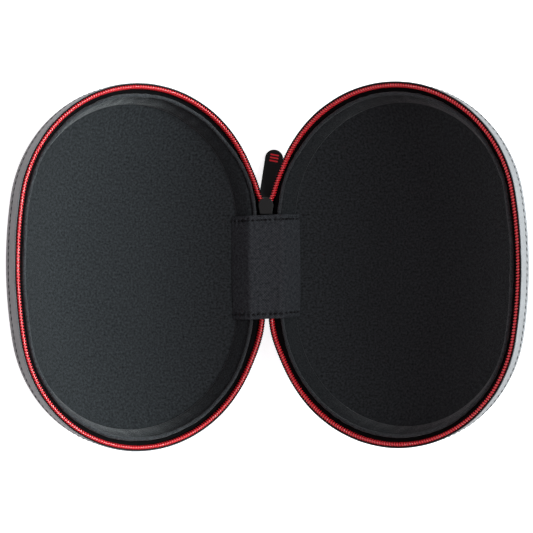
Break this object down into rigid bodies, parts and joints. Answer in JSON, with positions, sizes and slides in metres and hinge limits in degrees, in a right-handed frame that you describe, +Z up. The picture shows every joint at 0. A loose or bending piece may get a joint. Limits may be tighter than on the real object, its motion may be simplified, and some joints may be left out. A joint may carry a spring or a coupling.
{
  "type": "headphone carrying case",
  "caption": "Oval zip-around hard case for folding headphones: two domed halves joined along a fabric spine, standing open, with a red coil zipper and a rubber pull.",
  "frame": {"origin": "on the table, under the middle of the open case, midway along the spine", "axes": "+X from the base half to the lid half, +Y along the spine towards the parked slider, +Z up"},
  "size_m": [0.26, 0.1926, 0.0936],
  "materials": {
    "outer_fabric": "satin",
    "foam": "matte",
    "lining": "matte",
    "piping": "matte",
    "binding": "matte",
    "tape": "matte",
    "coil": "gloss",
    "thread": "matte",
    "panel": "matte",
    "slider_metal": "matte",
    "pull_rubber": "matte",
    "inlay": "satin"
  },
  "bodies": {
    "base": {"base_back_cover": "outer_fabric", "base_foam_shell": "foam", "base_lining_floor": "lining", "base_lining_wall": "lining", "base_lining_piping": "piping", "base_rim_binding": "binding", "base_side_band": "outer_fabric", "base_zipper_tape": "tape", "base_zipper_coil": "coil", "base_top_stop": "slider_metal", "base_seam_thread": "thread", "base_spine_strip": "outer_fabric", "base_hinge_panel": "panel", "base_panel_thread": "thread"},
    "lid": {"lid_back_cover": "outer_fabric", "lid_foam_shell": "foam", "lid_lining_floor": "lining", "lid_lining_wall": "lining", "lid_lining_piping": "piping", "lid_rim_binding": "binding", "lid_side_band": "outer_fabric", "lid_zipper_tape": "tape", "lid_zipper_coil": "coil", "lid_top_stop": "slider_metal", "lid_seam_thread": "thread", "lid_spine_strip": "outer_fabric", "lid_hinge_panel": "panel", "lid_panel_thread": "thread"},
    "slider": {"slider_body": "slider_metal", "slider_bridge": "slider_metal", "bottom_stop": "slider_metal"},
    "pull": {"pull_link": "slider_metal", "pull_tab": "pull_rubber", "pull_inlay": "inlay"}
  },
  "joints": [
    {"name": "lid_hinge", "type": "hinge", "parent": "base", "child": "lid", "pos_m": [0, 0, 0.01235], "axis": [0, -1, 0], "range_deg": [0, 112.8]},
    {"name": "slider_tilt", "type": "hinge", "parent": "base", "child": "slider", "pos_m": [0, 0, 0.01235], "axis": [0, -1, 0], "range_deg": [0, 56.4]},
    {"name": "pull_swing", "type": "hinge", "parent": "slider", "child": "pull", "pos_m": [0, 0.0346, 0.00905], "axis": [-0.9816, 0.1908, 0], "range_deg": [-12, 75]}
  ],
  "couplings": [
    {"joint": "slider_tilt", "follows": "lid_hinge", "ratio": 0.5}
  ]
}
